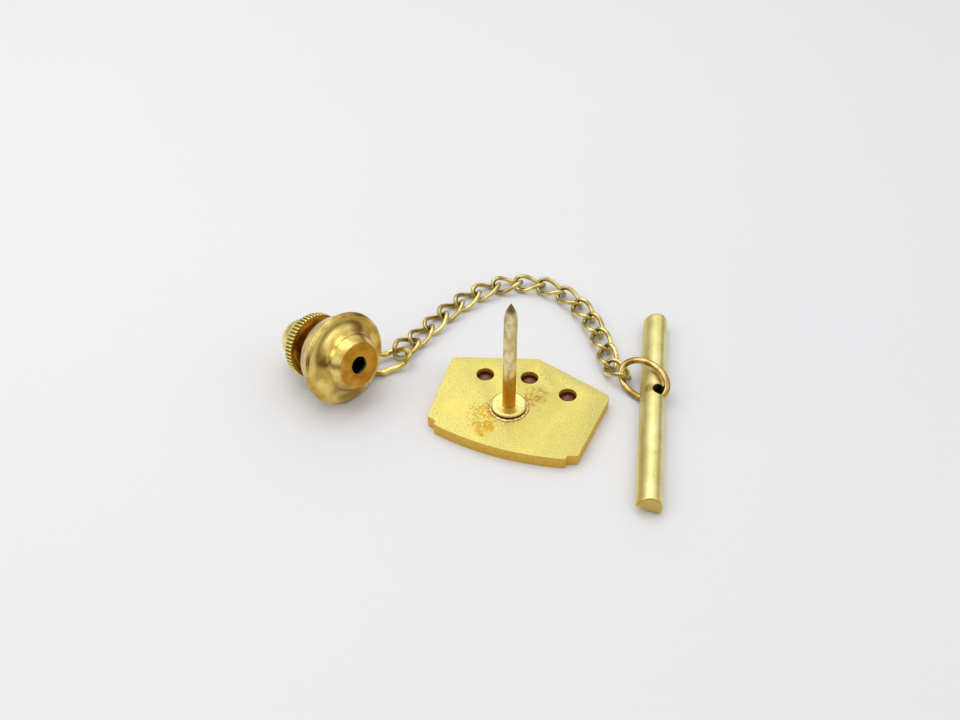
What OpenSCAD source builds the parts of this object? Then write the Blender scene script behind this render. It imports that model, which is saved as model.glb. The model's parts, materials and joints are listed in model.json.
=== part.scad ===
// Tie tack laid out as a set: the set plate lies face down with its post up, the ball clutch
// lies on its rim, and a curb chain runs from the clutch's wire loop to the shirt bar.
// Millimetres. The origin is on the table, under the axis of the post. +Z is up.

/* [Plate] */
// Half of the plate's width across the upper corners
plate_half_w = 6.6; // [5:0.1:9]
// Thickness of the plate
plate_t = 1.0; // [0.8:0.05:1.4]
// Turn of the plate about the post, in degrees
plate_turn = -20; // [-45:1:45]
// Diameter of the three stones
stone_d = 1.88; // [1.5:0.02:2]

/* [Post] */
// Diameter of the post
post_d = 1.02; // [0.9:0.01:1.1]
// Height of the post's point above the table
post_top = 11.5; // [9:0.5:14]
// Diameter of the pad that the post stands on
pad_d = 2.76; // [2.4:0.02:3.4]
// Height of the pad above the plate
pad_h = 0.45; // [0.3:0.05:0.6]

/* [Clutch] */
// Diameter of the clutch's flange
flange_d = 7.44; // [6.8:0.02:8]
// Diameter of the nose's flat face
nose_d = 3.6; // [3.4:0.05:4]
// Diameter of the bore that takes the post
bore_d = 1.16; // [1.12:0.02:1.2]
// Diameter of the knurled disc
knurl_d = 5.3; // [4.8:0.02:5.6]
// Number of ridges round the knurled disc
knurl_ridges = 54; // [36:2:72]
// Diameter of the dome cap
dome_d = 3.54; // [3:0.02:3.8]
// Direction of the clutch's nose in plan, in degrees
clutch_turn = -44; // [-60:1:-30]
// Diameter of the clutch loop's wire
loop_wire_d = 0.42; // [0.34:0.02:0.44]

/* [Chain] */
// Distance from one link's hook to the next
link_pitch = 2.0; // [1.98:0.01:2.04]
// Diameter of the links' wire
link_wire_d = 0.38; // [0.3:0.01:0.4]
// Length of a link between its wire centres
link_len = 2.5; // [2.45:0.01:2.55]
// Width of a link between its wire centres
link_w = 1.5; // [1.45:0.01:1.6]
// Twist at each end of a link, in degrees
link_twist = 50; // [48:1:55]

/* [Bar] */
// Length of the shirt bar
bar_len = 20.4; // [16:0.2:24]
// Width of the bar's flat side
bar_w = 2.0; // [1.8:0.05:2.2]
// Height of the bar's crown above its flat side
bar_h = 1.35; // [1.2:0.05:1.5]
// Diameter of the bar ring's wire
ring_wire_d = 0.52; // [0.4:0.02:0.54]

/* [Hidden] */
first_link = 17;
$fn = 96;

gold = "#d8c060";
amber_gold = "#b98a35";
old_gold = "#a99552";
pale_gold = "#e4d98a";
steel = "#9a9a94";
garnet = "#3a1010";

// The plate is symmetric about a line that passes this far to the right of the post
plate_axis_x = 0.47;
plate_corner_y = 3.85;
plate_peak_y = 6.0;
plate_foot_half_w = 6.02;
plate_foot_y = -3.05;
notch_half_w = 5.25;
notch_y = -3.3;
apron_y = -3.68;
apron_drop = 0.68;
corner_inset = 0.8;
notch_round = 0.15;
foot_round = 0.6;
peak_round = 0.9;
apron_steps = 8;
groove_inset = 0.8;
groove_w = 0.18;
groove_d = 0.08;

// How far a cutter runs past the face that it opens
over = 1;

// The stones' seats, narrowing from the front face to the openings in the back
seat_d = stone_d + 0.02;
seat_straight = 0.3;
seat_cone_end = 0.62;
seat_back_d = 1.4;
stone_side_x = 3.42;
stone_side_y = 2.85;
stone_middle_y = 3.68;

// Profile of a stone: radii as shares of its own, and heights above the front face
stone_table = 0.55;
stone_table_z = 0.04;
stone_girdle_low = 0.2;
stone_girdle_high = 0.27;
stone_culet_r = 0.05;
stone_culet_z = 0.86;

// The post stands on a shoulder, with a tenon through the pad
tenon_d = 0.66;
post_point_len = 1.6;
point_steps = 10;
tip_r = 0.06;
tip_h = 0.04;
pad_round = 0.14;
solder_w = 0.24;
solder_h = 0.13;
solder_steps = 4;

// Axial places in the clutch, measured from the flange's ridge towards the nose
nose_z = 1.88;
mouth_r = 0.72;
mouth_depth = 0.2;
bore_end_z = 0.75;
back_z = -1.75;
back_r = 2.85;
back_edge = 0.12;
rim_r = 0.12;
rim_from = 80;
rim_to = -70;
rim_steps = 6;
nose_flare = 0.42;
trumpet_edge = 0.2;
trumpet_low_z = 0.22;
trumpet_rise = 0.95;
trumpet_steps = 8;
taper = 15;
taper_start_r = 1.10;
cavity_r = 1.5;
taper_end_z = bore_end_z - (cavity_r - taper_start_r) / tan(taper);
collar_z = -1.40;
collar_r = 2.0;
neck_r = 1.45;
neck_bore_r = 1.22;
neck_end_z = -2.9;
neck_wall = 0.25;
stem_r = 0.90;
stem_hole_r = 0.94;
stem_seat = 0.1;
cage_r = 1.05;
cage_bore_r = 0.76;
cage_front_z = 0.70;
cage_rim_r = 1.30;
cage_rim_z = -0.25;
cage_back_z = -0.45;
ball_r = 0.40;
ball_z = 0.175;
ball_centre_r = 0.82;
window_r = 0.42;
disc_z = -3.25;
disc_t = 0.95;
stem_end_z = disc_z - disc_t + stem_seat;
dome_straight = 0.95;
dome_wall = 0.25;
dome_steps = 10;
spring_wire_d = 0.16;
spring_r = 1.06;
spring_turns = 4.5;
spring_gap = 0.02;
spring_steps = 90;

// Places of one ridge's four corners, as shares of the pitch, and the grooves' depth
ridge_corners = [0, 0.28, 0.5, 0.78];
knurl_depth = 0.09;

// The clutch rests on its flange and on the far edge of the knurled disc
clutch_tilt = atan((flange_d - knurl_d) / 2 / (disc_t - disc_z));
clutch_pos = [-12.73, 2.73, (flange_d / 2 - rim_r) * cos(clutch_tilt) + rim_r];

// Middle of the clutch loop's wire in the clutch's own frame: an eye about the neck, and two
// legs that run down past the flange to an end that turns up through the first link
loop_ref = [1, -0.1, 0.9];
loop_steps = 4;
loop_path = [[2.75, 4.5, -1.4], [2.85, 5.15, -1.25], [2.85, 5.6, -0.9], [2.75, 5.95, -0.45],
             [2.7, 5.85, 0.2], [2.85, 5.5, 0.65], [3.2, 5.0, 0.6], [3.4, 4.45, 0.3],
             [3.4, 3.75, -0.05], [3.3, 3.0, -0.35], [2.7, 1.5, -2.05], [2.1, 0.5, -2.45],
             [1.3, -1.2, -2.5], [0.0, -1.8, -2.5], [-1.25, -1.25, -2.5], [-1.8, 0.0, -2.5],
             [-1.2, 1.3, -2.5], [0.1, 1.9, -2.5], [1.2, 2.4, -2.5], [2.0, 3.0, -2.2]];

// Headings of the fifteen links in plan, and the slope of the first and the last
headings = [49, 54, 55, 48, 43, 32, 12, -8, -32, -49, -64, -75, -73, -87, -56];
first_slope = -6;
first_roll = 24;
last_slope = 11;
link_count = len(headings);
hook_slack = 0.02;
chain_start = [-8.86, 6.70, 0.75];
link_half = link_len / 2;
first_reach = link_half - (link_wire_d + loop_wire_d) / 2 - hook_slack;
last_reach = link_half - (link_wire_d + ring_wire_d) / 2 - hook_slack;

// How full a link's oval is towards its ends and along its sides; 1 is an ellipse
link_end_power = 0.9;
link_side_power = 0.7;
link_steps = 32;

// The ring lies aslant, through the bar's hole and over its edge
ring_major = 2.12;
ring_minor = 1.38;
ring_azimuth = -40;
ring_slope = 41;
ring_spin = -5;
ring_steps = 44;
ring_sides = 10;
ring_centre_off = [1.54, -0.86, 0.28];

// The bar lies on one edge of its flat side and leans on the ring's wire
bar_turn = -7.45;
bar_roll = 20;
bar_off = [1.92, -3.38];
bar_hole_d = 1.12;
bar_hole_at = [0.18, 1.10, 0.55];
bar_hole_lean = [-11, 40, 0];
bar_steps = 24;

// Unit vector at heading h and slope s
function aim(h, s) = [cos(h) * cos(s), sin(h) * cos(s), sin(s)];
function slope_of(i) = i == 0 ? first_slope : i == link_count - 1 ? last_slope : 0;
function reach_in(i) = i == 0 ? first_reach : link_pitch / 2;
function reach_out(i) = i == link_count - 1 ? last_reach : link_pitch / 2;
// Point where link i hooks on to what comes before it
function hook(i) = i == 0 ? chain_start
    : hook(i - 1) + (reach_in(i - 1) + reach_out(i - 1)) * aim(headings[i - 1], slope_of(i - 1));
function link_centre(i) = hook(i) + reach_in(i) * aim(headings[i], slope_of(i));

ring_left = hook(link_count);
ring_centre = ring_left + ring_centre_off;
bar_centre = [ring_left[0] + bar_off[0], ring_left[1] + bar_off[1], bar_w / 2 * sin(bar_roll)];

function unit(v) = v / norm(v);
function sign_pow(v, p) = sign(v) * pow(abs(v), p);

// A corner of an outline, as an arc of radius r that touches both of its sides
function corner(a, b, c, r, n = 6) =
    let (u = unit(a - b), v = unit(c - b),
         half = acos(u * v) / 2,
         mid = b + unit(u + v) * r / sin(half),
         p = b + u * r / tan(half),
         q = b + v * r / tan(half))
    [for (i = [0:n]) mid + r * unit(p * (n - i) + q * i - n * mid)];

// A closed smooth curve through the points of a list, with n steps between two points
function ring_at(list, i) = list[(i + len(list)) % len(list)];
function smooth_loop(list, n) =
    [for (i = [0:len(list) - 1], k = [0:n - 1])
        let (t = k / n, a = ring_at(list, i - 1), b = ring_at(list, i),
             c = ring_at(list, i + 1), d = ring_at(list, i + 2))
        0.5 * (2 * b + (c - a) * t + (2 * a - 5 * b + 4 * c - d) * t * t
               + (3 * b - a - 3 * c + d) * t * t * t)];

// A round wire of radius r along a path; the reference vector is never along the path
module wire(path, r, sides = 8, ref = [0, 0, 1], closed = true) {
    n = len(path);
    function before(i) = closed ? path[(i + n - 1) % n] : path[max(i - 1, 0)];
    function after(i) = closed ? path[(i + 1) % n] : path[min(i + 1, n - 1)];
    points = [for (i = [0:n - 1], k = [0:sides - 1])
        let (t = unit(after(i) - before(i)), u = unit(cross(t, ref)), v = cross(u, t))
        path[i] + r * (cos(360 * k / sides) * u + sin(360 * k / sides) * v)];
    last = closed ? n - 1 : n - 2;
    skin = [for (i = [0:last], k = [0:sides - 1])
        let (j = (i + 1) % n, m = (k + 1) % sides)
        [i * sides + k, i * sides + m, j * sides + m, j * sides + k]];
    caps = closed ? [] : [[for (k = [sides - 1:-1:0]) k],
                          [for (k = [0:sides - 1]) (n - 1) * sides + k]];
    polyhedron(points, concat(skin, caps), convexity = 6);
}

module in_clutch() {
    translate(clutch_pos)
        rotate([0, 90 - clutch_tilt, clutch_turn])
            children();
}

// Outline of the plate, drawn inwards by g
module plate_outline(g) {
    w = plate_half_w - g;
    f = plate_foot_half_w - g;
    m = notch_half_w - g;
    top = [0, plate_peak_y - g];
    side = [w, plate_corner_y - g * corner_inset];
    foot = [f, plate_foot_y + g];
    notch = [m, notch_y + g];
    apron = [m, apron_y + g];
    arc_r = (m * m + apron_drop * apron_drop) / (2 * apron_drop);
    sweep = asin(m / arc_r);
    low = [for (i = [-apron_steps:apron_steps])
        let (a = i * sweep / apron_steps)
        [arc_r * sin(a), apron[1] - apron_drop + arc_r * (1 - cos(a))]];
    right_up = concat([notch], corner(notch, foot, side, notch_round, 3),
                      corner(foot, side, top, foot_round));
    left_down = [for (i = [len(right_up) - 1:-1:0]) [-right_up[i][0], right_up[i][1]]];
    crown = corner(side, top, [-side[0], side[1]], peak_round);
    polygon(concat(low, right_up, crown, left_down));
}

module in_plate() {
    rotate([0, 0, plate_turn])
        children();
}

module at_stone(k) {
    in_plate()
        translate([plate_axis_x + k * stone_side_x, k == 0 ? stone_middle_y : stone_side_y, 0])
            children();
}

module stone_seat() {
    rotate_extrude()
        polygon([[0, -over], [seat_d / 2, -over], [seat_d / 2, seat_straight],
                 [seat_back_d / 2, seat_cone_end], [seat_back_d / 2, plate_t + over],
                 [0, plate_t + over]]);
}

module tack_plate() {
    color(gold)
    difference() {
        in_plate()
            translate([plate_axis_x, 0, 0])
                difference() {
                    linear_extrude(plate_t)
                        plate_outline(0);
                    translate([0, 0, -over])
                        linear_extrude(over + groove_d)
                            difference() {
                                plate_outline(groove_inset);
                                plate_outline(groove_inset + groove_w);
                            }
                }
        for (k = [-1:1])
            at_stone(k)
                stone_seat();
    }
}

// Brilliant-cut stone, table down, with its point towards the opening in the back
module stone(k) {
    r = stone_d / 2;
    color(garnet)
    at_stone(k)
        rotate_extrude()
            polygon([[0, stone_table_z], [stone_table * r, stone_table_z],
                     [r, stone_girdle_low], [r, stone_girdle_high],
                     [stone_culet_r, stone_culet_z], [0, stone_culet_z]]);
}

module post_pad() {
    r = pad_d / 2;
    color(pale_gold)
    translate([0, 0, plate_t])
        rotate_extrude()
            polygon([[tenon_d / 2, 0], [r, 0], [r, pad_h - pad_round],
                     [r - pad_round / 2, pad_h - pad_round / 2], [r - pad_round, pad_h],
                     [tenon_d / 2, pad_h]]);
}

// Hollow fillet of solder, highest against the pad
module solder_ring() {
    r = pad_d / 2;
    fillet = [for (i = [0:solder_steps]) let (t = i / solder_steps)
        [r + solder_w * (1 - t), solder_h * t * t]];
    color(amber_gold)
    translate([0, 0, plate_t])
        rotate_extrude()
            polygon(concat([[r, 0]], fillet));
}

// Post with a bullet point above and a tenon below
module tack_post() {
    r = post_d / 2;
    shoulder = plate_t + pad_h;
    straight = post_top - post_point_len;
    point = [for (i = [0:point_steps - 1]) let (t = i / point_steps)
        [r * (1 - t * t), straight + post_point_len * t]];
    color(old_gold)
    rotate_extrude()
        polygon(concat([[0, plate_t], [tenon_d / 2, plate_t], [tenon_d / 2, shoulder],
                        [r, shoulder]],
                       point, [[tip_r, post_top - tip_h], [0, post_top]]));
}

// Turned housing: nose, trumpet flange with a rounded rim, and a tapered ball race inside
module clutch_housing() {
    r = flange_d / 2;
    n = nose_d / 2;
    trumpet_w = r - n - nose_flare - trumpet_edge;
    trumpet = [for (i = [0:trumpet_steps]) let (a = 90 * i / trumpet_steps)
        [n + nose_flare + trumpet_w * (1 - cos(a)),
         trumpet_low_z + trumpet_rise * (1 - sin(a))]];
    rim = [for (i = [0:rim_steps]) let (a = rim_from + (rim_to - rim_from) * i / rim_steps)
        [r - rim_r + rim_r * cos(a), rim_r * sin(a)]];
    color(gold)
    in_clutch()
        rotate_extrude()
            polygon(concat(
                [[bore_d / 2, nose_z - mouth_depth], [mouth_r, nose_z], [n, nose_z]],
                trumpet, rim,
                [[back_r + back_edge, back_z + back_edge], [back_r, back_z], [collar_r, back_z],
                 [collar_r, collar_z], [cavity_r, collar_z], [cavity_r, taper_end_z],
                 [taper_start_r, bore_end_z], [bore_d / 2, bore_end_z]]));
}

// Pressed-in back plate with the neck that the loop swings on and the spring sits in
module rear_collar() {
    color(amber_gold)
    in_clutch()
        rotate_extrude()
            polygon([[neck_bore_r, collar_z], [collar_r, collar_z], [collar_r, back_z],
                     [neck_r, back_z], [neck_r, neck_end_z], [stem_hole_r, neck_end_z],
                     [stem_hole_r, neck_end_z + neck_wall],
                     [neck_bore_r, neck_end_z + neck_wall]]);
}

// Ball cage on its hollow stem
module ball_cage() {
    color(steel)
    in_clutch()
        difference() {
            rotate_extrude()
                polygon([[cage_bore_r, cage_front_z], [cage_r, cage_front_z],
                         [cage_r, cage_rim_z], [cage_rim_r, cage_rim_z],
                         [cage_rim_r, cage_back_z], [stem_r, cage_back_z],
                         [stem_r, stem_end_z], [cage_bore_r, stem_end_z]]);
            for (k = [0:2])
                translate([0, 0, ball_z])
                    rotate([0, 90, 120 * k])
                        cylinder(r = window_r, h = cage_rim_r + over);
        }
}

module ball(k) {
    color(steel)
    in_clutch()
        rotate([0, 0, 120 * k])
            translate([ball_centre_r, 0, ball_z])
                sphere(r = ball_r);
}

module knurled_disc() {
    r = knurl_d / 2;
    teeth = [for (i = [0:knurl_ridges - 1], k = [0:3])
        let (a = (i + ridge_corners[k]) * 360 / knurl_ridges,
             q = k < 2 ? r : r - knurl_depth)
        q * [cos(a), sin(a)]];
    color(amber_gold)
    in_clutch()
        translate([0, 0, disc_z - disc_t])
            difference() {
                linear_extrude(disc_t)
                    polygon(teeth);
                translate([0, 0, -over])
                    cylinder(r = stem_r, h = disc_t + 2 * over);
            }
}

// Hollow dome, open towards the disc
module dome_cap() {
    r = dome_d / 2;
    base = disc_z - disc_t;
    outer = [for (i = [0:dome_steps]) let (a = 90 * i / dome_steps)
        [r * cos(a), base - dome_straight - r * sin(a)]];
    inner = [for (i = [dome_steps:-1:0]) let (a = 90 * i / dome_steps, q = r - dome_wall)
        [q * cos(a), base - dome_straight - q * sin(a)]];
    color(pale_gold)
    in_clutch()
        rotate_extrude()
            polygon(concat([[r, base]], outer, inner, [[r - dome_wall, base]]));
}

// Coil spring between the cage's rim and the collar's end wall
module clutch_spring() {
    low = neck_end_z + neck_wall + spring_wire_d / 2 + spring_gap;
    high = cage_back_z - spring_wire_d / 2 - spring_gap;
    color(steel)
    in_clutch()
        wire([for (i = [0:spring_steps]) let (t = i / spring_steps, a = 360 * spring_turns * t)
                 [spring_r * cos(a), spring_r * sin(a), low + (high - low) * t]],
             spring_wire_d / 2, 6, closed = false);
}

module clutch_loop() {
    color(gold)
    in_clutch()
        wire(smooth_loop(loop_path, loop_steps), loop_wire_d / 2, ref = loop_ref);
}

// Curb link: an oval of wire whose ends are twisted opposite ways
module link(i) {
    path = [for (k = [0:link_steps - 1])
        let (t = 360 * k / link_steps,
             x = link_half * sign_pow(cos(t), link_end_power),
             y = link_w / 2 * sign_pow(sin(t), link_side_power),
             a = -link_twist * x / link_half)
        [x, y * cos(a), y * sin(a)]];
    color(old_gold)
    translate(link_centre(i))
        rotate([0, -slope_of(i), headings[i]])
            rotate([i == 0 ? first_roll : 0, 0, 0])
                wire(path, link_wire_d / 2);
}

module bar_ring() {
    path = [for (k = [0:ring_steps - 1]) let (t = 360 * k / ring_steps)
        [ring_major * cos(t), ring_minor * sin(t), 0]];
    color(amber_gold)
    translate(ring_centre)
        rotate([0, 0, ring_azimuth])
            rotate([ring_slope, 0, ring_spin])
                wire(path, ring_wire_d / 2, ring_sides);
}

// Half-round bar with a slanting hole for the ring
module shirt_bar() {
    crown = [for (i = [0:bar_steps]) let (a = 180 * i / bar_steps)
        [bar_w / 2 * cos(a), bar_h * sin(a)]];
    color(gold)
    translate(bar_centre)
        rotate([0, bar_roll, bar_turn])
            difference() {
                rotate([90, 0, 0])
                    linear_extrude(bar_len, center = true)
                        polygon(crown);
                translate(bar_hole_at)
                    rotate(bar_hole_lean)
                        cylinder(d = bar_hole_d, h = 3 * bar_w, center = true);
            }
}

tack_plate();
stone(-1);  // stone_left
stone(0);  // stone_middle
stone(1);  // stone_right
post_pad();
solder_ring();
tack_post();
clutch_housing();
rear_collar();
ball_cage();
knurled_disc();
dome_cap();
clutch_spring();
ball(0);  // ball_1
ball(1);  // ball_2
ball(2);  // ball_3
clutch_loop();
for (i = [0:link_count - 1])
    link(i);
bar_ring();
shirt_bar();
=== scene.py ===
"""Tie tack set: plate with its post up, ball clutch, curb chain and shirt bar."""

import json
import math

import bmesh
import bpy
import numpy as np
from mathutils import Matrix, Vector


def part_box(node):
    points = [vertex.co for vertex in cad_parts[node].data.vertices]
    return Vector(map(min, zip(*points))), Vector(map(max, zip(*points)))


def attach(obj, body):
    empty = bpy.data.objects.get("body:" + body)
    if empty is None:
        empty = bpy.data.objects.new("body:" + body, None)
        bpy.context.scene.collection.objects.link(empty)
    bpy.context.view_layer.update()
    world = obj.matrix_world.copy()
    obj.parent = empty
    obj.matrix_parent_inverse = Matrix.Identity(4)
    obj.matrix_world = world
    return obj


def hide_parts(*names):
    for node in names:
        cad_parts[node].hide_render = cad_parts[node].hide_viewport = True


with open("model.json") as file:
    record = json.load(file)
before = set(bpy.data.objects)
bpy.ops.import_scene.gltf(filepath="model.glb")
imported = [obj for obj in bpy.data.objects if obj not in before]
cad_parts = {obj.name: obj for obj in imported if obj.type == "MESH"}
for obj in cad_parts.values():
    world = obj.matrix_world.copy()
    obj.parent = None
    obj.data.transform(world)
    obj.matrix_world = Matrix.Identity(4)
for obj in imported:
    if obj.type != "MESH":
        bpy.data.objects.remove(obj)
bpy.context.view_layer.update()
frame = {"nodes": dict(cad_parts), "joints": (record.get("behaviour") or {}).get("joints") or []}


# The camera stands low in front of the set and looks down at it.
mm = 0.001
camera_place = Vector((-2.22, -65.26, 66.84)) * mm
camera_down = 43.0
camera_data = bpy.data.cameras.new("camera")
camera_data.lens = 45.0
camera_data.sensor_width = 36.0
camera_data.clip_start = 1.0 * mm
camera = bpy.data.objects.new("camera", camera_data)
camera.location = camera_place
camera.rotation_euler = (math.radians(90.0 - camera_down), 0.0, 0.0)
bpy.context.scene.collection.objects.link(camera)
bpy.context.scene.camera = camera
bpy.context.scene.view_settings.view_transform = "Standard"


# The set lies on white card under a big soft light, in a pale room with a brown horizon that
# the polished gold picks up.
class Mark:
    """A socket of a node tree. Sums of marks and numbers add Math nodes."""

    def __init__(self, tree, socket=None):
        self.tree, self.socket = tree, socket

    def node(self, kind, settings, inputs, out=0):
        """Adds a node: its settings come first, then the values or links of its sockets."""
        new = self.tree.nodes.new("ShaderNode" + kind)
        for key, value in settings.items():
            if key == "stops":
                ramp = new.color_ramp.elements
                ramp[0].position, ramp[1].position = value[0][0], value[-1][0]
                for place, _ in value[1:-1]:
                    ramp.new(place)
                for element, (_, colour) in zip(ramp, value):
                    element.color = colour
            else:
                setattr(new, key, value)
        for key, value in inputs.items():
            if isinstance(value, Mark):
                self.tree.links.new(value.socket, new.inputs[key])
            else:
                new.inputs[key].default_value = value
        return Mark(self.tree, new.outputs[out] if new.outputs else None)

    def sum(self, operation, a, b):
        return self.node("Math", {"operation": operation}, {0: a, 1: b})

    def __add__(self, other):
        return self.sum("ADD", self, other)

    def __sub__(self, other):
        return self.sum("SUBTRACT", self, other)

    def __rsub__(self, other):
        return self.sum("SUBTRACT", other, self)

    def __mul__(self, other):
        return self.sum("MULTIPLY", self, other)

    def __truediv__(self, other):
        return self.sum("DIVIDE", self, other)

    __radd__, __rmul__ = __add__, __mul__


def tint(red, green, blue):
    """A screen colour from 0 to 255 as a linear colour: its share to the power 2.2."""
    return (*(np.array([red, green, blue]) / 255.0) ** 2.2, 1.0)


def part(place, index):
    """The x, y or z of a vector, for index 0, 1 or 2."""
    return place.node("SeparateXYZ", {}, {0: place}, index)


def rise(value, low, high):
    """0 below low, 1 above high, and a smooth step between them. Low may be the larger one."""
    return value.node("MapRange", {"interpolation_type": "SMOOTHSTEP"},
                      {0: value, 1: low, 2: high, 3: 0.0, 4: 1.0})


def blended(share, first, second):
    """The first colour where share is 0, the second where it is 1."""
    return share.node("Mix", {"data_type": "RGBA"}, {0: share, 6: first, 7: second}, 2)


def grain(place, size, stretch=(1.0, 1.0, 1.0), detail=3.0):
    """Noise from 0 to 1 whose lumps are size across, drawn out along an axis by stretch."""
    scale = tuple(1.0 / (size * s) for s in stretch)
    moved = place.node("Mapping", {}, {"Vector": place, "Scale": scale})
    return place.node("TexNoise", {}, {"Vector": moved, "Scale": 1.0, "Detail": detail})


def new_finish(name):
    """A material without a shader yet, and the mark of its Object coordinates."""
    material = bpy.data.materials.new(name)
    material.use_nodes = True
    material.node_tree.nodes.clear()
    start = Mark(material.node_tree)
    return material, start.node("TexCoord", {}, {}, "Object")


def shade(material, colour, rough, height=None, depth=0.0, metallic=1.0, **constants):
    """Gives the material its shader; height times depth is how far the surface stands up."""
    inputs = {"Base Color": colour, "Roughness": rough, "Metallic": metallic, **constants}
    start = Mark(material.node_tree)
    if height is not None:
        inputs["Normal"] = start.node("Bump", {}, {"Height": height, "Distance": depth})
    start.node("OutputMaterial", {}, {"Surface": start.node("BsdfPrincipled", {}, inputs)})
    return material


world = bpy.data.worlds.new("room")
world.use_nodes = True
world.node_tree.nodes.clear()
room = Mark(world.node_tree)
toward = room.node("TexCoord", {}, {}, "Generated")
up = part(toward, 2)
front = part(toward, 1)
patches = room.node("TexNoise", {}, {"Vector": toward, "Scale": 2.2, "Detail": 2.0})
lit = rise(up + (patches - 0.5) * 1.1 + front * 0.12, 0.1, 0.62)
room_brown = (0.11, 0.075, 0.045, 1.0)
room_white = (0.98, 0.98, 1.0, 1.0)
sky = room.node("Background", {}, {"Color": blended(lit, room_brown, room_white),
                                   "Strength": 1.0})
room.node("OutputWorld", {}, {"Surface": sky})
bpy.context.scene.world = world

# name, place, size and power of each soft light, in mm and watts, all aimed at the set
for light_name, light_place, light_size, light_power in (
        ("overhead", (-40.0, 60.0, 190.0), 150.0, 0.115),
        ("window", (-170.0, -20.0, 130.0), 90.0, 0.05),
        ("fill", (150.0, -90.0, 130.0), 90.0, 0.02)):
    light_data = bpy.data.lights.new(light_name, "AREA")
    light_data.size = light_size * mm
    light_data.energy = light_power
    light = bpy.data.objects.new(light_name, light_data)
    light.location = Vector(light_place) * mm
    light.rotation_euler = (-light.location).to_track_quat("-Z", "Y").to_euler()
    bpy.context.scene.collection.objects.link(light)

card_half = 900.0 * mm
card_gap = 0.01 * mm
card_mesh = bpy.data.meshes.new("card")
card_mesh.from_pydata([(x * card_half, y * card_half, -card_gap)
                       for x, y in ((-1, -1), (1, -1), (1, 1), (-1, 1))], [], [(0, 1, 2, 3)])
card = bpy.data.objects.new("card", card_mesh)
bpy.context.scene.collection.objects.link(card)
card_finish, card_place = new_finish("white card")
card_cloud = grain(card_place, 60.0 * mm, detail=2.0)
card_mesh.materials.append(shade(
    card_finish, blended(card_cloud, tint(217, 217, 219), tint(222, 222, 221)), 0.8,
    metallic=0.0))


# The plate: a flat piece of brass, plated and left matte on the back, with three seats bored
# through it for stones. It is stamped out, and its edges are broken with a file.
def eased_copy(node, name, width, finish):
    """A merged copy of a CAD node whose edges sharper than 35 degrees get a rounded bevel."""
    work = bmesh.new()
    work.from_mesh(frame["nodes"][node].data)
    bmesh.ops.remove_doubles(work, verts=work.verts, dist=0.0005 * mm)
    bmesh.ops.dissolve_limit(work, angle_limit=math.radians(0.5), verts=work.verts,
                             edges=work.edges)
    mesh = bpy.data.meshes.new(name)
    work.to_mesh(mesh)
    work.free()
    mesh.shade_smooth()
    mesh.materials.append(finish)
    piece = bpy.data.objects.new(name, mesh)
    bpy.context.scene.collection.objects.link(piece)
    bevel = piece.modifiers.new("broken edges", "BEVEL")
    bevel.width = width
    bevel.segments = 4
    bevel.limit_method = "ANGLE"
    bevel.angle_limit = math.radians(35.0)
    bevel.harden_normals = True
    bevel.use_clamp_overlap = True
    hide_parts(node)
    return piece


plate_finish, at = new_finish("matte plate gold")
facing = part(at.node("TexCoord", {}, {}, "Normal"), 2)
x, y = part(at, 0), part(at, 1)
out_from_post = at.node("VectorMath", {"operation": "LENGTH"}, {
    0: at.node("CombineXYZ", {}, {0: x, 1: y})}, 1)
bearing = x.sum("ARCTAN2", y, x)
plate_grain = grain(at, 0.11 * mm, detail=5.0)
plate_cloud = grain(at, 1.7 * mm)
speck = rise(grain(at, 0.16 * mm, detail=1.0), 0.70, 0.78)
streak_place = at.node("CombineXYZ", {}, {0: bearing * 3.0, 1: out_from_post / (1.1 * mm)})
streak = at.node("TexNoise", {}, {"Vector": streak_place, "Scale": 1.6, "Detail": 5.0,
                                  "Distortion": 0.8})
stain_lumps = grain(at, 0.42 * mm, detail=6.0)
# the flux ran out on three sides of the pad: middle and reach of each patch, in mm
ran = None
for patch_middle, patch_reach in (((-2.3, -0.9, 1.0), 2.3), ((2.3, 1.2, 1.0), 1.9),
                                  ((-1.9, -2.7, 1.0), 1.5)):
    away_from = at.node("VectorMath", {"operation": "DISTANCE"},
                        {0: at, 1: tuple(c * mm for c in patch_middle)}, 1)
    patch = rise(away_from, patch_reach * mm, 0.2 * patch_reach * mm)
    ran = patch if ran is None else ran + patch
close = rise(out_from_post, 2.6 * mm, 1.5 * mm)
stain = rise((0.35 + 0.6 * ran + 0.25 * close) * (0.5 * streak + stain_lumps), 0.56, 0.86)
plate_colour = blended(rise(plate_grain, 0.3, 0.72), tint(200, 184, 92), tint(230, 222, 146))
plate_colour = blended(rise(plate_cloud, 0.35, 0.7) * 0.5, plate_colour, tint(230, 216, 110))
plate_colour = blended(stain * 0.85, plate_colour, tint(188, 144, 36))
plate_colour = blended(speck * 0.7, plate_colour, tint(128, 94, 40))
wall = rise(facing, 0.75, 0.25)
wall_colour = blended(grain(at, 0.3 * mm, detail=4.0), tint(206, 164, 56), tint(240, 204, 102))
plate_colour = blended(wall, plate_colour, wall_colour)
edge_line = rise(facing, 0.98, 0.9) * rise(facing, 0.3, 0.6)
plate_colour = blended(edge_line * 0.6, plate_colour, tint(150, 116, 60))
plate_bump = plate_grain + 0.8 * stain * stain_lumps - 0.8 * speck
shade(plate_finish, plate_colour, 0.5 + 0.12 * plate_grain - 0.1 * stain,
      plate_bump, 0.022 * mm, metallic=0.9)
plate = eased_copy("tack_plate", "plate", 0.08 * mm, plate_finish)
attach(plate, "tack")


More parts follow.
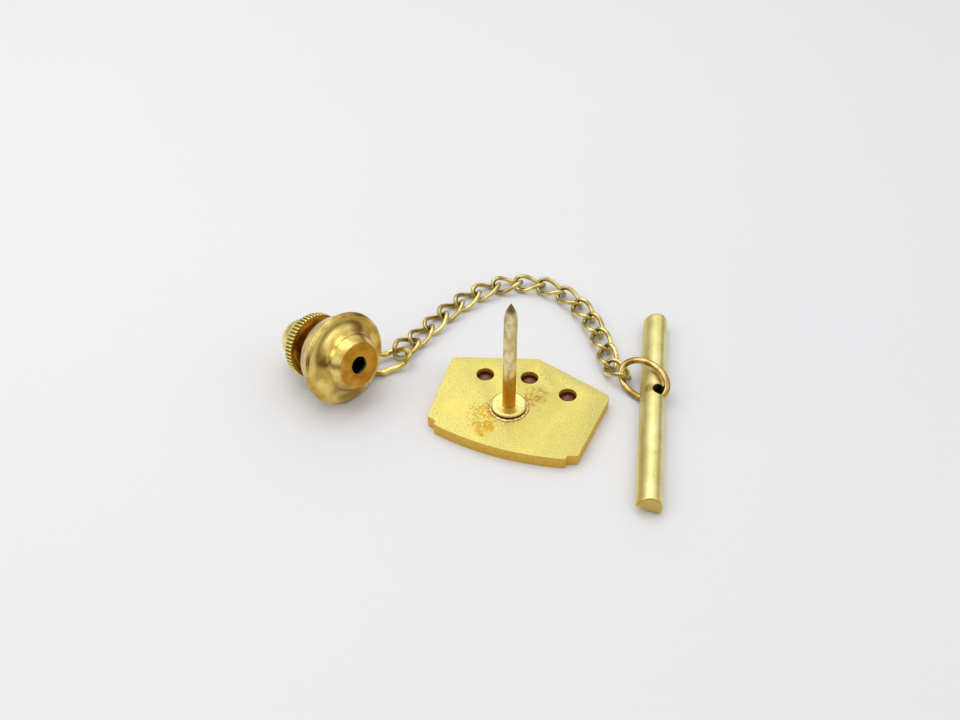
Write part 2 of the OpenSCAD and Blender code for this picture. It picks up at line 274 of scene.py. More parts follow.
# The stones: three small brilliants of garnet glass, cut by hand and pushed into their seats
# from the front, so that the back shows only their points.
def welded(name, points, quads, finish, marks=None):
    """A smooth piece of quads over rows of points. Points in one place are merged and faces
    are turned outwards. Marks are point attributes."""
    mesh = bpy.data.meshes.new(name)
    mesh.from_pydata(points.reshape(-1, 3).tolist(), [], quads.tolist())
    for key, values in (marks or {}).items():
        mesh.attributes.new(key, "FLOAT", "POINT").data.foreach_set("value", values.ravel())
    work = bmesh.new()
    work.from_mesh(mesh)
    bmesh.ops.remove_doubles(work, verts=work.verts, dist=0.00001 * mm)
    bmesh.ops.recalc_face_normals(work, faces=work.faces)
    work.to_mesh(mesh)
    work.free()
    mesh.shade_smooth()
    mesh.materials.append(finish)
    piece = bpy.data.objects.new(name, mesh)
    bpy.context.scene.collection.objects.link(piece)
    return piece


def skin(name, grid, finish, body, nodes=(), close_rows=True, sharp=40.0, marks=None):
    """A skin over grid[i, j]: a quad joins each point to the next in its row and its column.
    Each row closes on itself, and with close_rows the last row joins the first. Only edges
    over sharp degrees stay hard."""
    rows, columns = grid.shape[:2]
    i, j = np.meshgrid(np.arange(rows if close_rows else rows - 1), np.arange(columns),
                       indexing="ij")
    up_i, up_j = (i + 1) % rows, (j + 1) % columns
    quads = np.stack([i * columns + j, i * columns + up_j, up_i * columns + up_j,
                      up_i * columns + j], -1).reshape(-1, 4)
    piece = welded(name, grid, quads, finish, marks)
    piece.data.set_sharp_from_angle(angle=math.radians(sharp))
    if nodes:
        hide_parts(*nodes)
    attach(piece, body)
    return piece


stone_finish, at = new_finish("garnet glass")
inside = grain(at, 0.7 * mm, detail=2.0)
shade(stone_finish, blended(inside, tint(72, 26, 22), tint(132, 66, 54)), 0.16 + 0.1 * inside,
      inside, 0.01 * mm, metallic=0.0, IOR=1.76)
stone_facets = 16
stone_turn = 2.0 * np.pi * np.arange(stone_facets) / stone_facets
for stone_name in ("stone_left", "stone_middle", "stone_right"):
    low, high = (np.array(p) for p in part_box(stone_name))
    middle, reach, deep = (low + high) / 2, (high[0] - low[0]) / 2 * 0.99, high[2] - low[2]
    # rows from the table to the point: share of the radius, share of the height, and how far
    # every second corner is drawn in, so that the facets become kites
    stone_rows = np.array([(0.0, 0.0, 0.0), (0.55, 0.0, 0.0), (0.80, 0.11, 0.05),
                           (1.0, 0.2, 0.0), (1.0, 0.28, 0.0), (0.62, 0.62, 0.07),
                           (0.05, 1.0, 0.0), (0.0, 1.0, 0.0)])
    odd = np.arange(stone_facets) % 2
    spread = reach * (stone_rows[:, :1] - stone_rows[:, 2:] * odd)
    cut = np.stack([middle[0] + spread * np.cos(stone_turn),
                    middle[1] + spread * np.sin(stone_turn),
                    low[2] + deep * np.repeat(stone_rows[:, 1:2], stone_facets, 1)], -1)
    skin("glass_" + stone_name, cut, stone_finish, "tack", (stone_name,),
         close_rows=False, sharp=3.0)


# The pad: a turned brass disc with a groove round its foot, riveted under the post's shoulder.
def eased(outline, cut, steps=4):
    """An outline with its corners eased: each corner is cut back along both of its sides, by
    cut or by 0.46 of the side, and a parabola joins the cuts. Cut may be one for each corner."""
    corner = np.array(outline, float)
    back, ahead = np.roll(corner, 1, 0) - corner, np.roll(corner, -1, 0) - corner
    back_long = np.linalg.norm(back, axis=1)
    ahead_long = np.linalg.norm(ahead, axis=1)
    start = corner + back * (np.minimum(cut, 0.46 * back_long) / back_long)[:, None]
    end = corner + ahead * (np.minimum(cut, 0.46 * ahead_long) / ahead_long)[:, None]
    t = np.linspace(0.0, 1.0, steps + 1)[None, :, None]
    curve = (1 - t) ** 2 * start[:, None] + 2 * t * (1 - t) * corner[:, None] + t * t * end[:, None]
    return curve.reshape(-1, 2)


def turned(profile, centre, axis, across, turns):
    """A profile of (radius, height) points in mm, carried round an axis: centre + height times
    axis + radius times (cos a times across + sin a times the third direction)."""
    a = 2.0 * np.pi * np.arange(turns) / turns
    third = np.cross(axis, across)
    spoke = np.cos(a)[:, None] * across + np.sin(a)[:, None] * third
    radius, height = profile[:, 0] * mm, profile[:, 1] * mm
    return centre + height[:, None, None] * axis + radius[:, None, None] * spoke[None]


up_axis, right_axis = np.array([0.0, 0.0, 1.0]), np.array([1.0, 0.0, 0.0])
plate_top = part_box("tack_plate")[1][2]
pad_r = (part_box("post_pad")[1][0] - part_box("post_pad")[0][0]) / 2 / mm
pad_h = (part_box("post_pad")[1][2] - plate_top) / mm
post_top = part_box("tack_post")[1][2]
post_r = (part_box("tack_post")[1][0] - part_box("tack_post")[0][0]) / 2 / mm
tenon_r = 0.33
groove_r = pad_r - 0.13
pad_bevel = 0.14
on_plate = np.array([0.0, 0.0, plate_top])
pad_outline = eased([(tenon_r, 0.0), (groove_r, 0.0), (groove_r, 0.42 * pad_h),
                     (pad_r, 0.5 * pad_h), (pad_r, 0.82 * pad_h), (pad_r - pad_bevel, pad_h),
                     (post_r + 0.3, pad_h - 0.02), (tenon_r, pad_h)], 0.06)
pad_finish, at = new_finish("pale pad gold")
above_plate = part(at, 2) - plate_top
behind = part(at, 1)
pad_grain = grain(at, 0.2 * mm, detail=4.0)
pad_colour = blended(rise(pad_grain, 0.3, 0.7), tint(228, 208, 114), tint(248, 238, 162))
front_shade = rise(behind, 0.1 * mm, -1.0 * mm) * rise(pad_grain, 0.35, 0.6)
pad_colour = blended(front_shade * 0.4, pad_colour, tint(216, 186, 70))
# painted shade: the undercut groove at the pad's foot, under its rim, is coloured dark brown
pad_colour = blended(rise(above_plate, 0.27 * mm, 0.2 * mm), pad_colour, tint(104, 62, 8))
shade(pad_finish, pad_colour, 0.26 + 0.16 * pad_grain, pad_grain, 0.012 * mm)
skin("pad", turned(pad_outline, on_plate, up_axis, right_axis, 128), pad_finish, "tack",
     ("post_pad",))


# The solder: a fillet that ran round the pad's foot, uneven by hand, and the crumbs of it that
# spat over the plate's back and stuck.
solder_turns, solder_ring_steps = 192, 14
a = 2.0 * np.pi * np.arange(solder_turns) / solder_turns
wave = np.sin(3 * a + 0.7) * 0.4 + np.sin(7 * a + 2.1) * 0.3 + np.sin(17 * a) * 0.2
b = np.linspace(0.0, np.pi, solder_ring_steps)
solder_inner = pad_r - pad_bevel
solder_wide = 0.36 + 0.035 * wave
solder_tall = 0.125 + 0.02 * np.roll(wave, 31)
solder_out = solder_inner + solder_wide[None] * (1 - np.cos(b[:, None])) / 2
solder_up = solder_tall[None] * np.sin(b[:, None]) ** 0.8 - 0.004
solder_grid = np.stack([solder_out * np.cos(a) * mm, solder_out * np.sin(a) * mm,
                        plate_top + solder_up * mm], -1)
solder_finish, at = new_finish("peach solder")
solder_grain = grain(at, 0.17 * mm, detail=4.0)
shade(solder_finish, blended(rise(solder_grain, 0.3, 0.7), tint(176, 128, 62),
                             tint(250, 222, 176)), 0.3 + 0.2 * solder_grain, solder_grain,
      0.02 * mm)
skin("solder", solder_grid, solder_finish, "tack", ("solder_ring",))

crumb_finish, at = new_finish("solder crumbs")
crumb_grain = grain(at, 0.2 * mm, detail=3.0)
shade(crumb_finish, blended(rise(crumb_grain, 0.35, 0.65), tint(204, 166, 52),
                            tint(248, 236, 138)), 0.42, crumb_grain, 0.015 * mm)
crumbs = np.random.default_rng(7)
near_left, near_right, all_round = 70, 36, 24
crumb_count, crumb_sides, crumb_rings = near_left + near_right + all_round, 8, 3
bearing_at = np.concatenate([crumbs.normal(np.radians(205), 0.45, near_left),
                             crumbs.normal(np.radians(38), 0.28, near_right),
                             crumbs.uniform(0, 2 * np.pi, all_round)])
away = 1.75 + np.minimum(np.abs(crumbs.normal(0.0, 0.8, crumb_count)), 1.7)
crumb_at = np.stack([away * np.cos(bearing_at), away * np.sin(bearing_at)], -1)
for stone_name in ("stone_left", "stone_middle", "stone_right"):
    stone_at = (np.array(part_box(stone_name)[0]) + np.array(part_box(stone_name)[1])) / 2 / mm
    too_near = np.linalg.norm(crumb_at - stone_at[:2], axis=1) < 0.95
    away = np.where(too_near, 1.8, away)
crumb_long = crumbs.uniform(0.05, 0.17, crumb_count)
crumb_slim = crumb_long * crumbs.uniform(0.3, 0.8, crumb_count)
crumb_tall = crumb_slim * crumbs.uniform(0.15, 0.4, crumb_count)
crumb_turn = bearing_at + crumbs.normal(0.0, 0.3, crumb_count)
ring_share = np.cos(np.linspace(0.0, np.pi / 2, crumb_rings + 1))
ring_share = np.concatenate([[0.0], ring_share])
ring_lift = np.concatenate([[-0.02], np.sin(np.linspace(0.0, np.pi / 2, crumb_rings + 1))])
side = 2.0 * np.pi * np.arange(crumb_sides) / crumb_sides
long_at = crumb_long[:, None, None] * ring_share[:, None] * np.cos(side)
slim_at = crumb_slim[:, None, None] * ring_share[:, None] * np.sin(side)
turn_cos, turn_sin = np.cos(crumb_turn)[:, None, None], np.sin(crumb_turn)[:, None, None]
middle_x = (away * np.cos(bearing_at))[:, None, None]
middle_y = (away * np.sin(bearing_at))[:, None, None]
crumb_grid = np.stack([
    (middle_x + long_at * turn_cos - slim_at * turn_sin) * mm,
    (middle_y + long_at * turn_sin + slim_at * turn_cos) * mm,
    plate_top + (crumb_tall[:, None, None] * ring_lift[:, None] + 0 * side) * mm], -1)
per = crumb_grid.shape[1]
n, i, j = np.meshgrid(np.arange(crumb_count), np.arange(per - 1), np.arange(crumb_sides),
                      indexing="ij")
base = (n * per + i) * crumb_sides
next_j = (j + 1) % crumb_sides
crumb_faces = np.stack([base + j, base + next_j, base + crumb_sides + next_j,
                        base + crumb_sides + j], -1).reshape(-1, 4)
crumb_piece = welded("solder_crumbs", crumb_grid, crumb_faces, crumb_finish)
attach(crumb_piece, "tack")


# The post: drawn brass wire with a shoulder, a tenon and a bullet point, soldered in its pad
# and scraped clean, so that it is greyer and rougher than the rest.
post_long = post_top / mm
point_long = 1.6
t = np.linspace(0.0, 0.97, 22)
post_foot = plate_top / mm
shoulder_z = post_foot + pad_h
post_outline = np.concatenate([
    [(0.0, post_foot), (tenon_r, post_foot), (tenon_r, shoulder_z), (post_r - 0.02, shoulder_z),
     (post_r, shoulder_z + 0.02)],
    np.stack([post_r * (1 - t ** 2), post_long - point_long + point_long * t], -1),
    [(0.012, post_long - 0.004), (0.0, post_long)]])
post_finish, at = new_finish("scraped post brass")
high = part(at, 2)
post_lines = grain(at, 0.07 * mm, (1.0, 1.0, 14.0), 4.0)
post_cloud = grain(at, 0.55 * mm, (1.0, 1.0, 1.8), 4.0)
worn = blended(rise(post_cloud, 0.38, 0.62), tint(206, 188, 126), tint(246, 230, 194))
worn = blended(rise(post_lines, 0.5, 0.75) * 0.45, worn, tint(238, 226, 190))
amber = blended(post_lines, tint(164, 106, 18), tint(214, 164, 60))
post_colour = blended(rise(high + (post_cloud - 0.5) * 4.0 * mm, 5.6 * mm, 3.6 * mm), worn, amber)
tip = rise(high, post_top - 1.0 * mm, post_top - 0.5 * mm)
post_colour = blended(tip * 0.7, post_colour, tint(108, 80, 44))
shade(post_finish, post_colour, 0.3 + 0.2 * post_cloud, post_lines + post_cloud, 0.016 * mm)
skin("post", turned(post_outline, np.zeros(3), up_axis, right_axis, 72), post_finish, "tack",
     ("tack_post",), close_rows=False)


# The clutch's housing: turned from brass bar, with a nose, a trumpet flange with a rolled rim
# and a tapered race inside. It is polished in the lathe.
joint = {j["name"]: j for j in frame["joints"]}
nose = -np.array(joint["plunger_pull"]["axis"], float)
neck_back = 2.5
flange_centre = np.array(joint["loop_swing"]["pos_m"], float) + neck_back * mm * nose
level = np.cross(up_axis, nose)
level /= np.linalg.norm(level)
down = np.cross(level, nose)
flange_r, rim_r, nose_r, nose_z = 3.72, 0.12, 1.8, 1.88
a = np.radians(np.linspace(0.0, 90.0, 15))
trumpet = np.stack([nose_r + 0.42 + (flange_r - nose_r - 0.62) * (1 - np.cos(a)),
                    0.22 + 0.95 * (1 - np.sin(a))], -1)
a = np.radians(np.linspace(80.0, -70.0, 13))
rim = np.stack([flange_r - rim_r + rim_r * np.cos(a), rim_r * np.sin(a)], -1)
front_points = [(0.58, 1.68), (0.72, 1.88), (nose_r, nose_z)]
back_points = [(2.97, -1.63), (2.85, -1.75), (2.0, -1.75), (2.0, -1.40), (1.5, -1.40),
               (1.5, -0.743), (1.10, 0.75), (0.58, 0.75)]
housing_points = np.concatenate([front_points, trumpet, rim, back_points])
housing_cut = np.concatenate([np.full(3, 0.05), np.full(28, 0.5), np.full(8, 0.05)])
housing_cut[3] = 0.3


def round_axis(place, centre, axis):
    """How far along an axis a point lies from its centre, and how far out from it."""
    off = place.node("VectorMath", {"operation": "SUBTRACT"}, {0: place, 1: tuple(centre)})
    along = place.node("VectorMath", {"operation": "DOT_PRODUCT"}, {0: off, 1: tuple(axis)}, 1)
    across = place.node("VectorMath", {"operation": "CROSS_PRODUCT"}, {0: off, 1: tuple(axis)})
    return along, place.node("VectorMath", {"operation": "LENGTH"}, {0: across}, 1)


def lathe_lines(along, out, pitch):
    """Fine rings left by the tool: noise that changes only along the axis and outwards."""
    rings = along.node("CombineXYZ", {}, {0: along / pitch, 1: out / pitch})
    return along.node("TexNoise", {}, {"Vector": rings, "Scale": 1.0, "Detail": 3.0})


housing_finish, at = new_finish("turned clutch gold")
along, out = round_axis(at, flange_centre, nose)
lines = lathe_lines(along, out, 0.06 * mm)
cloud = grain(at, 1.3 * mm, detail=4.0)
housing_colour = blended(rise(cloud, 0.35, 0.68), tint(184, 144, 66), tint(238, 214, 122))
housing_colour = blended(rise(lines, 0.45, 0.7) * 0.3, housing_colour, tint(250, 232, 150))
face = rise(along, 1.80 * mm, 1.86 * mm)
housing_colour = blended(face, housing_colour,
                         blended(rise(cloud, 0.3, 0.7), tint(184, 130, 46), tint(222, 176, 84)))
# painted shade: the bore inside the nose is coloured near black, for the darkness inside it
hole = rise(out, 0.74 * mm, 0.66 * mm)
housing_colour = blended(hole, housing_colour, tint(50, 58, 44))
shade(housing_finish, housing_colour, 0.2 + 0.1 * cloud + 0.1 * face, lines + 0.5 * cloud,
      0.004 * mm)
skin("clutch_nose_and_flange",
     turned(eased(housing_points, housing_cut), flange_centre, nose, down, 192),
     housing_finish, "clutch", ("clutch_housing",), sharp=50.0)


# The rear collar: a turned ring pressed into the housing's back; its neck carries the loop
# and holds the spring.
collar_outline = eased([(1.22, -1.40), (2.0, -1.40), (2.0, -1.75), (1.45, -1.75), (1.45, -2.9),
                        (0.94, -2.9), (0.94, -2.65), (1.22, -2.65)], 0.05)
collar_finish, at = new_finish("collar gold")
along, out = round_axis(at, flange_centre, nose)
lines = lathe_lines(along, out, 0.05 * mm)
shade(collar_finish, blended(lines, tint(140, 92, 28), tint(206, 158, 66)), 0.24 + 0.1 * lines,
      lines, 0.004 * mm)
skin("collar", turned(collar_outline, flange_centre, nose, down, 128), collar_finish, "clutch",
     ("rear_collar",))


# The grip inside: three bearing balls in a slotted cage on a hollow stem, pushed into the
# taper by a coil spring of steel wire.
def wire(path, u_half, v_half, sides, beside, closed=True):
    """Wire along a path: at each point a ring of points u_half out along u and v_half along v,
    where u is square to the path and to beside, and v is square to u and the path."""
    if closed:
        ahead = np.roll(path, -1, 0) - np.roll(path, 1, 0)
    else:
        ahead = np.gradient(path, axis=0)
    ahead /= np.linalg.norm(ahead, axis=1, keepdims=True)
    u = np.cross(ahead, beside)
    u /= np.linalg.norm(u, axis=1, keepdims=True)
    v = np.cross(u, ahead)
    a = 2.0 * np.pi * np.arange(sides) / sides
    ring = (np.cos(a)[None, :, None] * (u * u_half[:, None])[:, None]
            + np.sin(a)[None, :, None] * (v * v_half[:, None])[:, None])
    return path[:, None] + ring


def from_clutch(points):
    """Points of the clutch's own frame, in mm, as points of the set."""
    return flange_centre + points @ np.stack([down, level, nose]) * mm


steel_finish, at = new_finish("bright steel")
steel_grain = grain(at, 0.3 * mm, detail=4.0)
shade(steel_finish, blended(steel_grain, tint(120, 118, 112), tint(206, 204, 198)),
      0.2 + 0.15 * steel_grain, steel_grain, 0.003 * mm)
for grip_node in ("ball_cage", "ball_1", "ball_2", "ball_3"):
    grip_mesh = frame["nodes"][grip_node].data
    grip_mesh.materials.clear()
    grip_mesh.materials.append(steel_finish)

spring_turns, spring_r, spring_low, spring_high, spring_wire_r = 4.5, 1.06, -2.55, -0.55, 0.08
spring_steps = 288
t = np.linspace(0.0, 1.0, spring_steps + 1)
spring_path = np.stack([spring_r * np.cos(2 * np.pi * spring_turns * t),
                        spring_r * np.sin(2 * np.pi * spring_turns * t),
                        spring_low + (spring_high - spring_low) * t], -1)
spring_thick = spring_wire_r * mm * np.minimum(1.0, np.minimum(t, 1 - t) * spring_steps)
skin("spring_coil", wire(from_clutch(spring_path), spring_thick, spring_thick, 10, nose,
                         closed=False), steel_finish, "clutch",
     ("clutch_spring",), close_rows=False, sharp=60.0)


# The knurled disc: turned brass with a straight knurl rolled into its rim, pulled back with
# the fingertips to let the post go.
disc_front, disc_back, disc_r, stem_r = -3.25, -4.20, 2.65, 0.90
ridges, ridge_steps, ridge_depth = 54, 10, 0.09
disc_outline = eased([(stem_r, disc_back), (disc_r - 0.16, disc_back), (disc_r, disc_back + 0.14),
                      (disc_r, disc_front - 0.14), (disc_r - 0.16, disc_front),
                      (stem_r, disc_front)], 0.08, 5)
a = 2.0 * np.pi * np.arange(ridges * ridge_steps) / (ridges * ridge_steps)
on_rim = np.clip((disc_outline[:, 0] - (disc_r - 0.13)) / 0.1, 0.0, 1.0)
groove = ridge_depth * (0.5 - 0.5 * np.cos(ridges * a)) ** 1.4
disc_radius = (disc_outline[:, :1] - on_rim[:, None] * groove[None]) * mm
spoke = np.cos(a)[:, None] * down + np.sin(a)[:, None] * level
disc_grid = (flange_centre + (disc_outline[:, 1] * mm)[:, None, None] * nose
             + disc_radius[:, :, None] * spoke[None])
disc_finish, at = new_finish("knurled gold")
along, out = round_axis(at, flange_centre, nose)
lines = lathe_lines(along, out, 0.05 * mm)
cloud = grain(at, 0.8 * mm, detail=3.0)
rim_share = rise(out, 2.40 * mm, 2.56 * mm)
flat = blended(rise(cloud, 0.35, 0.65), tint(168, 120, 50), tint(224, 170, 78))
# painted light: the knurl's grooves are coloured dark as painted shade and its crests pale as a
# painted highlight
bright = blended(rise(out, 2.57 * mm, 2.64 * mm), tint(120, 86, 24), tint(244, 228, 128))
shade(disc_finish, blended(rim_share, flat, bright), 0.24 + 0.1 * lines, lines, 0.004 * mm)
skin("pull_disc", disc_grid, disc_finish, "plunger", ("knurled_disc",))


# The dome cap: drawn from thin brass and soldered to the disc, where it hides the stem's end.
dome_r, dome_wall, dome_straight = 1.77, 0.25, 0.95
a = np.radians(np.linspace(0.0, 90.0, 33))
dome_low = disc_back - dome_straight
inner_r = dome_r - dome_wall
outside = np.stack([dome_r * np.cos(a), dome_low - dome_r * np.sin(a)], -1)
inside_curve = np.stack([inner_r * np.cos(a), dome_low - inner_r * np.sin(a)], -1)[::-1]
outside[-1, 0] = inside_curve[0, 0] = 0.0
dome_outline = np.concatenate([inside_curve, [(inner_r, disc_back - 0.01),
                                              (dome_r, disc_back - 0.01)], outside])
dome_finish, at = new_finish("dome gold")
along, out = round_axis(at, flange_centre, nose)
lines = lathe_lines(along, out, 0.08 * mm)
cloud = grain(at, 0.7 * mm, detail=4.0)
shade(dome_finish, blended(rise(cloud, 0.3, 0.7), tint(232, 216, 120), tint(252, 244, 172)),
      0.28 + 0.12 * cloud, lines + cloud, 0.005 * mm)
skin("dome", turned(dome_outline, flange_centre, nose, down, 128), dome_finish, "plunger",
     ("dome_cap",), close_rows=False)


# The clutch's loop: drawn brass wire bent into an eye about the neck, with its end turn
# hammered flat and its ends butted together there.
loop_points = np.array([
    [2.75, 4.5, -1.4], [2.85, 5.15, -1.25], [2.85, 5.6, -0.9], [2.75, 5.95, -0.45],
    [2.7, 5.85, 0.2], [2.85, 5.5, 0.65], [3.2, 5.0, 0.6], [3.4, 4.45, 0.3], [3.4, 3.75, -0.05],
    [3.3, 3.0, -0.35], [2.7, 1.5, -2.05], [2.1, 0.5, -2.45], [1.3, -1.2, -2.5],
    [0.0, -1.8, -2.5], [-1.25, -1.25, -2.5], [-1.8, 0.0, -2.5], [-1.2, 1.3, -2.5],
    [0.1, 1.9, -2.5], [1.2, 2.4, -2.5], [2.0, 3.0, -2.2]])


def smooth_round(points, steps):
    """A closed Catmull-Rom curve: between points b and c, half of 2b + (c - a)t
    + (2a - 5b + 4c - d)t squared + (3b - a - 3c + d)t cubed."""
    a, b = np.roll(points, 1, 0)[:, None], points[:, None]
    c, d = np.roll(points, -1, 0)[:, None], np.roll(points, -2, 0)[:, None]
    t = (np.arange(steps) / steps)[None, :, None]
    curve = 0.5 * (2 * b + (c - a) * t + (2 * a - 5 * b + 4 * c - d) * t ** 2
                   + (3 * b - a - 3 * c + d) * t ** 3)
    return curve.reshape(-1, 3)


loop_wire_r, loop_steps, loop_sides = 0.21, 16, 20
loop_path = smooth_round(loop_points, loop_steps)
at_point = np.arange(len(loop_path)) / loop_steps
flattened = np.exp(-((at_point - 4.4) / 1.1) ** 2)
seam = np.exp(-((at_point - 6.0) / 0.05) ** 2)
leg = np.exp(-((at_point - 8.3) / 1.2) ** 2) + np.exp(-((at_point - 0.3) / 0.9) ** 2)
loop_u = loop_wire_r * (1 + 0.16 * leg + 0.55 * flattened - 0.25 * seam) * mm
loop_v = loop_wire_r * (1 + 0.16 * leg - 0.22 * flattened - 0.25 * seam) * mm
loop_beside = np.array([1.0, -0.1, 0.9]) @ np.stack([down, level, nose])
loop_finish, at = new_finish("loop gold")
loop_grain = grain(at, 1.1 * mm, detail=3.0)
flat_mark = at.node("Attribute", {"attribute_name": "flattened"}, {}, 2)
seam_mark = at.node("Attribute", {"attribute_name": "seam"}, {}, 2)
loop_colour = blended(rise(loop_grain, 0.35, 0.65), tint(178, 148, 62), tint(240, 222, 126))
loop_colour = blended(flat_mark * 0.5, loop_colour, tint(226, 216, 150))
loop_colour = blended(seam_mark * 0.8, loop_colour, tint(84, 60, 22))
shade(loop_finish, loop_colour, 0.2 + 0.12 * loop_grain, loop_grain, 0.0008 * mm)
loop_marks = {"flattened": np.repeat(flattened, loop_sides),
              "seam": np.repeat(seam, loop_sides)}
skin("clutch_wire_loop",
     wire(from_clutch(loop_path), loop_u, loop_v, loop_sides, loop_beside),
     loop_finish, "loop", ("clutch_loop",), marks=loop_marks, sharp=60.0)


# The chain: fifteen curb links. Each is an oval of drawn wire whose ends are twisted opposite
# ways, closed and soldered; where links hook into each other, their ends are darkened with painted
# shade.
link_count = 15
hooks = np.array([joint["link_%02d_swing" % (i + 1)]["pos_m"] for i in range(link_count)]
                 + [joint["ring_swing"]["pos_m"]], float)
link_half, link_side, link_wire_r, half_pitch = 1.25, 0.75, 0.19, 1.0
link_twist, first_roll = math.radians(50.0), math.radians(24.0)
chain_finish, at = new_finish("worn chain gold")
# painted shade: the ends of each link, most on their inner side, are coloured dark where links hide
# each other
nip = at.node("Attribute", {"attribute_name": "nip"}, {}, 2)
chain_grain = grain(at, 1.0 * mm, detail=3.0)
chain_lines = grain(at, 0.1 * mm, detail=3.0)
chain_colour = blended(rise(chain_grain, 0.35, 0.65), tint(190, 166, 96), tint(238, 222, 150))
chain_colour = blended(nip * rise(chain_grain, 0.2, 0.6), chain_colour, tint(92, 78, 36))
shade(chain_finish, chain_colour, 0.2 + 0.1 * chain_grain + 0.1 * nip,
      0.3 * chain_lines + chain_grain, 0.0008 * mm)
link_steps = 96
t = 2.0 * np.pi * np.arange(link_steps) / link_steps
link_x = link_half * np.sign(np.cos(t)) * np.abs(np.cos(t)) ** 0.9
link_y = link_side * np.sign(np.sin(t)) * np.abs(np.sin(t)) ** 0.7
twist = -link_twist * link_x / link_half
link_path = np.stack([link_x, link_y * np.cos(twist), link_y * np.sin(twist)], -1)
link_sides = 16
at_end = np.clip((np.abs(link_x) / link_half - 0.72) / 0.25, 0.0, 1.0)
for i in range(link_count):
    first, last = hooks[i], hooks[i + 1]
    heading = (last - first) / np.linalg.norm(last - first)
    if i == 0:
        centre = last - half_pitch * mm * heading
    elif i == link_count - 1:
        centre = first + half_pitch * mm * heading
    else:
        centre = (first + last) / 2
    left = np.cross(up_axis, heading)
    left /= np.linalg.norm(left)
    above = np.cross(heading, left)
    roll = first_roll if i == 0 else 0.0
    turned_left = math.cos(roll) * left + math.sin(roll) * above
    turned_up = -math.sin(roll) * left + math.cos(roll) * above
    path = centre + link_path @ np.stack([heading, turned_left, turned_up]) * mm
    thick = np.full(len(path), link_wire_r * mm)
    grid = wire(path, thick, thick, link_sides, turned_up)
    path_out = np.linalg.norm(path - centre, axis=-1)
    inward = np.linalg.norm(grid - centre, axis=-1) < path_out[:, None]
    skin("curb_link_%02d" % (i + 1), grid, chain_finish, "chain_link_%02d" % (i + 1),
         ("link_%02d" % (i + 1),),
         marks={"nip": at_end[:, None] * (0.45 + 0.55 * inward)}, sharp=60.0)


# The bar's ring: thicker drawn wire bent to an oval through the bar's hole and soldered shut.
ring_centre = hooks[15] + np.array([1.54, -0.86, 0.28]) * mm
ring_major, ring_minor, ring_wire_r, ring_sides, ring_steps = 2.12, 1.38, 0.26, 24, 160


def turn_about(axis, degrees):
    """The matrix that turns a row of coordinates about axis 0, 1 or 2 by the right-hand rule."""
    c, s = math.cos(math.radians(degrees)), math.sin(math.radians(degrees))
    p, q = ((1, 2), (2, 0), (0, 1))[axis]
    matrix = np.eye(3)
    matrix[p, p] = matrix[q, q] = c
    matrix[p, q], matrix[q, p] = s, -s
    return matrix


ring_turn = turn_about(0, 41.0) @ turn_about(2, -5.0) @ turn_about(2, -40.0)
t = 2.0 * np.pi * np.arange(ring_steps) / ring_steps
ring_path = np.stack([ring_major * np.cos(t), ring_minor * np.sin(t), 0 * t], -1)
ring_thick = np.full(ring_steps, ring_wire_r * mm)
ring_finish, at = new_finish("ring bronze gold")
ring_grain = grain(at, 1.4 * mm, detail=3.0)
ring_lines = grain(at, 0.12 * mm, detail=3.0)
shade(ring_finish, blended(rise(ring_grain, 0.35, 0.65), tint(156, 120, 60), tint(220, 192, 118)),
      0.2 + 0.1 * ring_grain, 0.4 * ring_lines + ring_grain, 0.001 * mm)
skin("oval_ring", wire(ring_centre + ring_path @ ring_turn * mm, ring_thick, ring_thick,
                       ring_sides, ring_turn[2]),
     ring_finish, "ring", ("bar_ring",), sharp=60.0)


# The shirt bar: half-round brass wire cut to length, with burnished ends and a slanting hole
# for the ring. It is satin, with small pits and an old stain.
bar_long, bar_wide, bar_tall, bar_round, bar_roll = 20.4, 2.0, 1.35, 0.2, 20.0
bar_turn = turn_about(1, bar_roll) @ turn_about(2, -7.45)
bar_centre = hooks[15] * (1.0, 1.0, 0.0) + np.array(
    [1.92, -3.38, bar_wide / 2 * math.sin(math.radians(bar_roll))]) * mm
t = np.linspace(0.0, np.pi, 49)
section = eased(np.stack([bar_wide / 2 * np.cos(t), bar_tall * np.sin(t)], -1), 0.12, 3)
core = np.array([0.0, 0.42 * bar_tall])
# rows run from one end's middle along the bar to the other's; a quarter circle of radius
# bar_round turns each end face into the side, and the section shrinks towards its core there
t = np.linspace(0.0, np.pi / 2, 7)
end_y = bar_long / 2 - bar_round * (1 - np.cos(t))
end_share = 1 - bar_round * (1 - np.sin(t)) / (bar_wide / 2)
straight_rows = 34
half_y = np.concatenate([[bar_long / 2], end_y,
                         np.linspace(end_y[-1] - 0.3, 0.15, straight_rows)])
half_share = np.concatenate([[0.0], end_share, np.ones(straight_rows)])
row_y = np.concatenate([half_y, -half_y[::-1]])
row_share = np.concatenate([half_share, half_share[::-1]])
across = core + row_share[:, None, None] * (section - core)
bar_local = np.stack([across[..., 0], np.repeat(row_y[:, None], len(section), 1),
                      across[..., 1]], -1)
bar_finish, at = new_finish("satin bar gold")
bar_way = np.array([0.0, 1.0, 0.0]) @ bar_turn
lengthwise, _ = round_axis(at, bar_centre, bar_way)
bar_grain = grain(at, 0.09 * mm, (1.0, 5.0, 1.0), 4.0)
bar_cloud = grain(at, 1.6 * mm, detail=3.0)
pit = rise(grain(at, 0.2 * mm, detail=1.0), 0.71, 0.79)
bar_colour = blended(rise(bar_cloud, 0.35, 0.65), tint(226, 212, 128), tint(240, 230, 160))
bar_colour = blended(rise(bar_grain, 0.4, 0.7) * 0.3, bar_colour, tint(248, 240, 184))
bar_colour = blended(pit * 0.7, bar_colour, tint(128, 96, 50))
bar_end = rise(lengthwise.sum("ABSOLUTE", lengthwise, 0.0), 10.02 * mm, 10.12 * mm)
bar_colour = blended(bar_end * 0.75, bar_colour, tint(196, 160, 70))
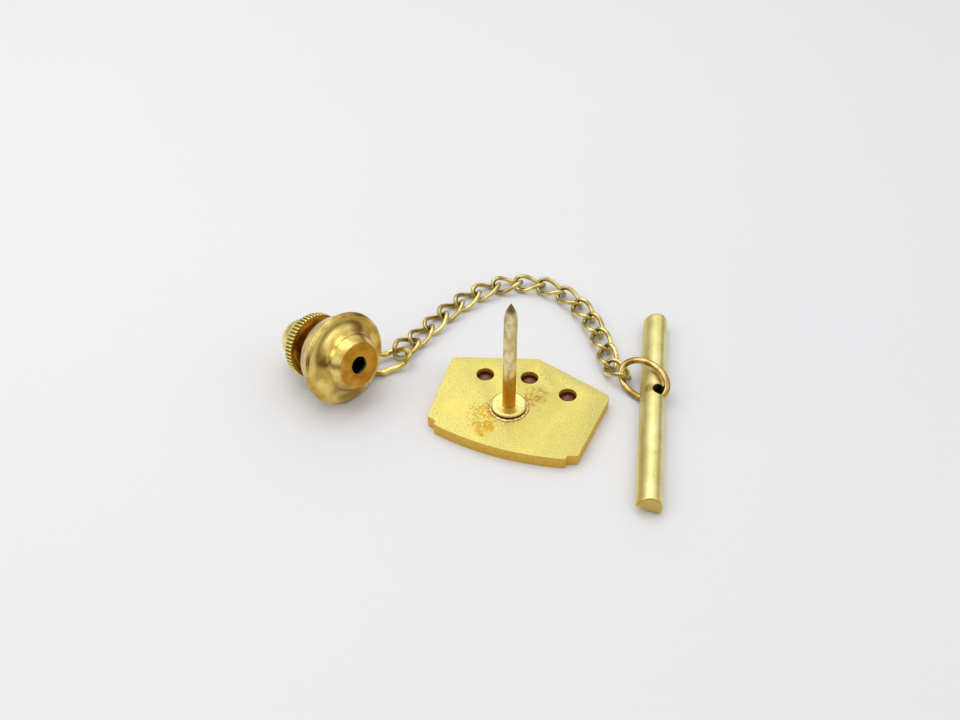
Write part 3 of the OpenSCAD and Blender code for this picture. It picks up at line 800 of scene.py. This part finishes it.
# the stain, then painted shade round the hole's mouth: places in the bar's own frame and reaches,
# in mm
for mark_place, mark_reach, mark_tint in (((0.82, -8.1, 0.76), 0.24, tint(96, 78, 44)),
                                          ((-0.62, 1.30, 1.00), 0.6, tint(176, 138, 56)),
                                          ((0.06, 1.14, 1.0), 0.78, tint(150, 118, 50))):
    mark_middle = bar_centre + np.array(mark_place) @ bar_turn * mm
    gap = at.node("VectorMath", {"operation": "DISTANCE"}, {0: at, 1: tuple(mark_middle)}, 1)
    bar_colour = blended(rise(gap, mark_reach * mm, 0.5 * mark_reach * mm) * 0.7,
                         bar_colour, mark_tint)
shade(bar_finish, bar_colour, 0.34 + 0.1 * bar_grain, bar_grain - 0.6 * pit, 0.005 * mm)
bar = skin("half_round_bar", bar_centre + bar_local @ bar_turn * mm, bar_finish, "bar",
           ("shirt_bar",), close_rows=False)
# painted shade: the hole's walls, which the cutters leave on the bar, are coloured near black
hole_shade_finish, at = new_finish("dark polish in the hole")
hole_grain = grain(at, 0.25 * mm, detail=3.0)
shade(hole_shade_finish, blended(hole_grain, tint(34, 38, 22), tint(92, 84, 46)), 0.35, hole_grain,
      0.004 * mm)
hole_way = up_axis @ turn_about(0, -11.0) @ turn_about(1, 40.0)
# each cutter: its middle and its way in the bar's own frame, and its (radius, height) outline:
# the slanting hole, then the worn mouth that opens it towards the crown
cutters = (((0.18, 1.10, 0.55), hole_way, [(0.0, -3.0), (0.56, -3.0), (0.56, 3.0), (0.0, 3.0)]),
           ((0.06, 1.14, 1.36), up_axis, [(0.0, -0.85), (0.30, -0.80), (0.52, -0.3),
                                          (0.60, 0.3), (0.0, 0.3)]))
for cut_middle, cut_way, cut_outline in cutters:
    way = cut_way @ bar_turn
    beside = np.cross(way, bar_way)
    drill = skin("drill", turned(np.array(cut_outline),
                                 bar_centre + np.array(cut_middle) @ bar_turn * mm, way,
                                 beside / np.linalg.norm(beside), 64),
                 hole_shade_finish, "bar", close_rows=False)
    drilled = bar.modifiers.new("hole", "BOOLEAN")
    drilled.object = drill
    drilled.solver = "EXACT"
    drilled.material_mode = "TRANSFER"
    bpy.context.view_layer.update()
    bar_mesh = bpy.data.meshes.new_from_object(
        bar.evaluated_get(bpy.context.evaluated_depsgraph_get()))
    bar.modifiers.clear()
    bar.data = bar_mesh
    bpy.data.objects.remove(drill)
bar_mesh.shade_smooth()
bar_mesh.set_sharp_from_angle(angle=math.radians(40.0))
